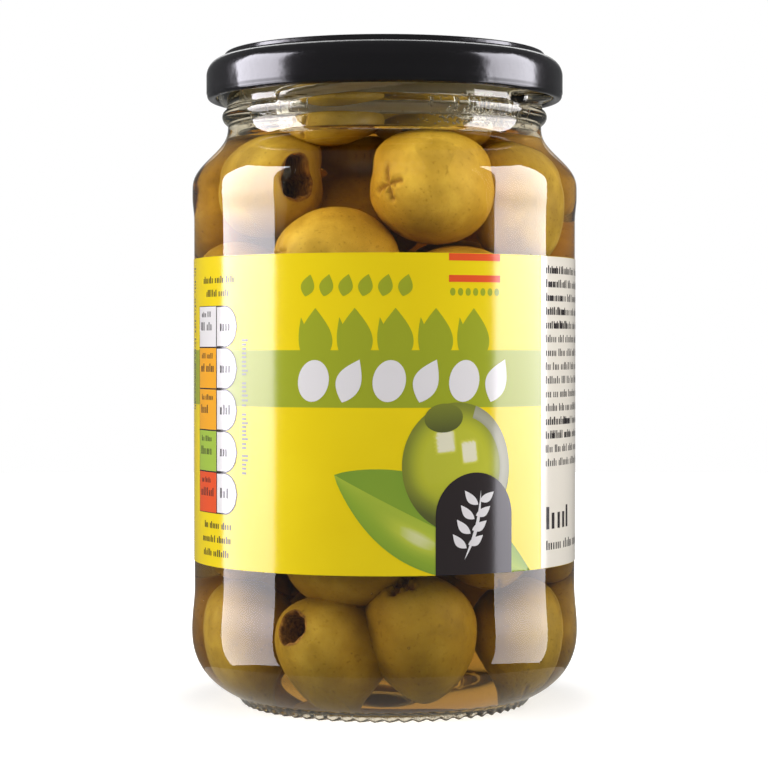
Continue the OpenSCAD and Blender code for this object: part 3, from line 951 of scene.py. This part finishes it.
def label_panels(rng):
    """The dark arched panel with its white sprig, the key of five coloured cells with round-ended white
    ones, and the cream panel of small print."""
    made = [arch((8.9, 24.0), (0.0, 17.7), 6, "dark")]
    made.append(blade((14.2, 2.6), (17.4, 14.6), 0.32, 7, "white", bow=-0.8))
    for i in range(4):
        u, h = 14.6 + 0.75 * i, 4.6 + 2.5 * i
        made.append(blade((u, h), (u - 2.6, h + 2.5), 0.75, 7, "white", bow=0.25, columns=14))
        made.append(blade((u + 0.3, h + 0.6), (u + 3.2, h + 2.2), 0.75, 7, "white", bow=-0.25, columns=14))
    # The key's cells, from the bottom up, each with an outlined round-ended one at its right.
    edges = 9.6 + 7.45 * np.arange(6)
    round_end = -29.2
    for low, high, ink in zip(edges, edges[1:], ["red", "key_green", "orange", "orange", "white"]):
        half, mid = (high - low) / 2, (high + low) / 2
        for inset, layer, colour in ((0.0, 3, "dark"), (0.24, 4, "white")):
            radius = half - inset
            u = np.linspace(-35.7, round_end - inset, 16)[None, :]
            past = np.maximum(u - round_end + half, 0) / (radius + 0.001)
            rise = radius * np.sqrt(np.clip(1 - past**2, 0, 1))
            made.append(printed(u, mid + rise * np.array([[-1.0], [1.0]]), layer, colour))
        made.append(bar((-44.0, -35.6), (low, high), 5, "dark"))
        made.append(bar((-43.8, -35.85), (low + 0.12, high - 0.12), 6, ink))
        made += text_line((-42.4, -37.4), high - 2.0, 1.0, 7, rng)
        made += text_line((-42.8, -37.0), high - 4.4, 1.5, 7, rng)
        made += text_line((-34.4, -31.6), mid - 0.8, 1.8, 7, rng)
    # Lines over and under the key, two that run up beside it and beside the picture, and the cream panel.
    for start, end, h in ((-41.5, -30.5, 50.9), (-40.0, -32.0, 48.5), (-41.0, -31.0, 6.9),
                          (-42.0, -31.0, 4.4), (-41.5, -32.0, 1.9)):
        made += text_line((start, end), h, 1.25, 3, rng)
    made += text_line((17.0, 43.5), -27.9, 1.5, 3, rng, "grey", upright=True)
    made += text_line((28.0, 54.0), -49.0, 1.3, 3, rng, "grey", upright=True)
    made.append(bar((31.9, 88.0), (0.05, LABEL_TOP - LABEL_BOTTOM - 0.05), 2, "cream"))
    for i in range(15):
        h = 52.6 - 2.46 * i
        wide = rng.uniform(44, 52) - (26 if i == 14 else 0)
        made += text_line((33.4, 33.4 + wide), h, 1.35, 3, rng)
        if i in (0, 1, 2, 3, 4, 11, 12):
            made += text_line((33.45, 33.4 + rng.uniform(6, 12)), h, 1.45, 4, rng)
    made += text_line((33.6, 42.5), 6.9, 4.0, 3, rng)
    made += text_line((33.6, 66.0), 3.2, 1.7, 3, rng)
    return made


def label_print():
    """All the print, as thin patches on the paper, one material slot for each ink."""
    patches = front_of_label() + label_picture() + label_panels(np.random.default_rng(11))
    made = piece("label_print", patches, [ink_material(name, stops) for name, stops in INKS.items()])
    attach(made, "root")


# ---- studio
def area_light(name, place, size, power, colour):
    """A soft rectangular lamp at a place in metres, turned to the jar's middle. It lights the jar without
    being seen in it."""
    lamp = bpy.data.lights.new(name, "AREA")
    lamp.shape, lamp.size, lamp.size_y = "RECTANGLE", *size
    lamp.energy, lamp.color = power, colour
    made = bpy.data.objects.new(name, lamp)
    bpy.context.scene.collection.objects.link(made)
    z = unit(np.array(place) - (0, 0, 0.06))
    x = unit(np.cross((0, 0, 1), z))
    y = np.cross(z, x)
    made.matrix_world = Matrix([[x[i], y[i], z[i], place[i]] for i in range(3)] + [[0, 0, 0, 1]])
    made.visible_camera = made.visible_glossy = False


def glow_material(name, low, high, heights, colour="FFFFFF"):
    """A lit white cloth: its strength goes from low to high between two heights in metres."""
    material = new_material(name)
    place = add(material, "TexCoord")
    up = add(material, "SeparateXYZ", links={0: (place, "Object")})
    strength = between(material, up, "Z", *heights, low, high)
    glow = add(material, "Emission", {"Color": linear(colour)}, {"Strength": (strength, 0)})
    return finished(material, glow)


def card(name, points, cloth, through_glass=False, **grid):
    """A lit cloth that only shiny faces mirror or, with through_glass, that shows only through the glass."""
    made = piece(name, [surface(points, **grid)], [cloth])
    made.visible_camera = made.visible_diffuse = made.visible_shadow = False
    made.visible_glossy = not through_glass
    made.visible_transmission = through_glass


def softbox(name, azimuths, heights, colour):
    """An upright softbox cloth, curved 600 mm from the jar's axis, between two azimuths."""
    angles = np.radians(np.linspace(*azimuths, 13))
    z = np.linspace(*heights, 5)[:, None] / MM
    cloth = glow_material(name + "_cloth", 6.4, 13.2, (-0.02, 0.16), colour)
    card(name, around(600.0, z, angles)[:, ::-1], cloth, wrap=False)


def floor():
    """A pale lit table top: a disc 1.6 m across that glows enough to stay pale to the eye. Its soft contact
    shadow is partly painted, as a weaker glow near the jar; it throws less light back up at the jar, and
    painted shade makes that darker still close to the jar."""
    material = new_material("pale_acrylic_table")
    place = add(material, "TexCoord")
    far = add(material, "VectorMath", links={0: (place, "Object")}, operation="LENGTH")
    # Painted contact shadow: the glow the eye sees is 0.45 inside 36 mm of the axis, full past 64 mm.
    lit = between(material, far, "Value", 0.036, 0.064, 0.45, 1.0)
    # Painted shade: out to 120 mm from the axis, light thrown back at the jar comes from a darker floor.
    painted_shade_fade = between(material, far, "Value", 0.045, 0.120, 0.0, 1.0)
    white = add(material, "BsdfDiffuse", {"Color": (0.8, 0.8, 0.8, 1)})
    glow = add(material, "Emission", {"Color": (1, 1, 1, 1)}, {"Strength": (lit, 0)})
    seen = add(material, "AddShader", links={0: (white, 0), 1: (glow, 0)})
    dark = add(material, "BsdfDiffuse", {"Color": (0.13, 0.13, 0.125, 1)})
    grey = add(material, "BsdfDiffuse", {"Color": (0.42, 0.41, 0.40, 1)})
    thrown = add(material, "MixShader", links={0: (painted_shade_fade, 0), 1: (dark, 0), 2: (grey, 0)})
    both = by_ray(material, "Is Camera Ray", thrown, seen)
    r = np.array([0, 30, 60, 120, 300, 800.0])[:, None]
    disc = around(r, 0.0, ring_angles(64))[:, ::-1]
    made = piece("table", [surface(disc, poles=(True, False))], [finished(material, both)])
    made.visible_glossy = False


def surround():
    """A world that is white to the eye and stays dim, a little blue, for all other light."""
    world = bpy.data.worlds.new("studio_surround")
    world.use_nodes = True
    world.node_tree.nodes.clear()
    white = add(world, "Background", {"Color": (1, 1, 1, 1), "Strength": 1.0})
    dim = add(world, "Background", {"Color": (0.95, 0.97, 1.0, 1), "Strength": 0.14})
    both = by_ray(world, "Is Camera Ray", dim, white)
    add(world, "OutputWorld", links={"Surface": (both, 0)})
    bpy.context.scene.world = world


def studio():
    """Two tall strip softboxes either side of the jar, lamps beside them, a large soft lamp above its
    front, a pale table, three cloths and a white surround."""
    softbox("left_strip", (-109, -66), (-0.27, 0.58), "F7F4FF")
    softbox("right_strip", (66, 109), (-0.24, 0.58), "E8E6EF")
    area_light("left_lamp", (-0.77, -0.20, 0.28), (0.35, 0.8), 7.0, (1.0, 0.98, 0.96))
    area_light("right_lamp", (0.77, -0.20, 0.28), (0.35, 0.8), 6.1, (1.0, 0.98, 0.95))
    area_light("top_lamp", (0.0, -0.65, 0.85), (0.8, 0.5), 3.4, (1.0, 1.0, 1.0))
    floor()
    surround()
    # A wall behind the jar, seen through the glass, and a narrow one that edges and slopes mirror.
    for name, half, cloth, through_glass in (
        ("back_wall", 900.0, (0.9, 0.5, (0.12, 0.16), "FFF6EA"), True),
        ("back_card", 160.0, (0.3, 2.6, (0.20, 0.36)), False),
    ):
        wall = np.array([[[x, 450.0, z] for x in (-half, half)] for z in (-300.0, 700.0)])
        card(name, wall, glow_material(name + "_cloth", *cloth), through_glass, wrap=False)
    # A pale plate under the jar, which only the heel mirrors.
    plate = around(np.array([0.0, 20.0, 45.0])[:, None], -0.5, ring_angles(48))
    cloth = glow_material("plate_cloth", 0.55, 0.55, (0.0, 1.0), "F4F0EA")
    card("plate", plate[:, ::-1], cloth, poles=(True, False))
    scene = bpy.context.scene
    scene.view_settings.view_transform = "Standard"
    scene.cycles.use_denoising = True
    scene.cycles.max_bounces = 24
    scene.cycles.transmission_bounces = 20
    scene.cycles.transparent_max_bounces = 24


def camera():
    """A long lens at the height of the jar's middle, 430 mm from its axis, looking down by under a degree."""
    view = bpy.data.cameras.new("camera")
    view.lens, view.sensor_width = 107.6, 36.0
    view.clip_start = 0.01
    made = bpy.data.objects.new("camera", view)
    bpy.context.scene.collection.objects.link(made)
    made.location = (-0.0001, -0.430, 0.066)
    made.rotation_euler = (math.radians(90 - 0.886), 0, 0)
    bpy.context.scene.camera = made


jar_glass()
brine(olives())
droplets()
lid()
sealing_ring()
label_paper()
label_print()
studio()
camera()
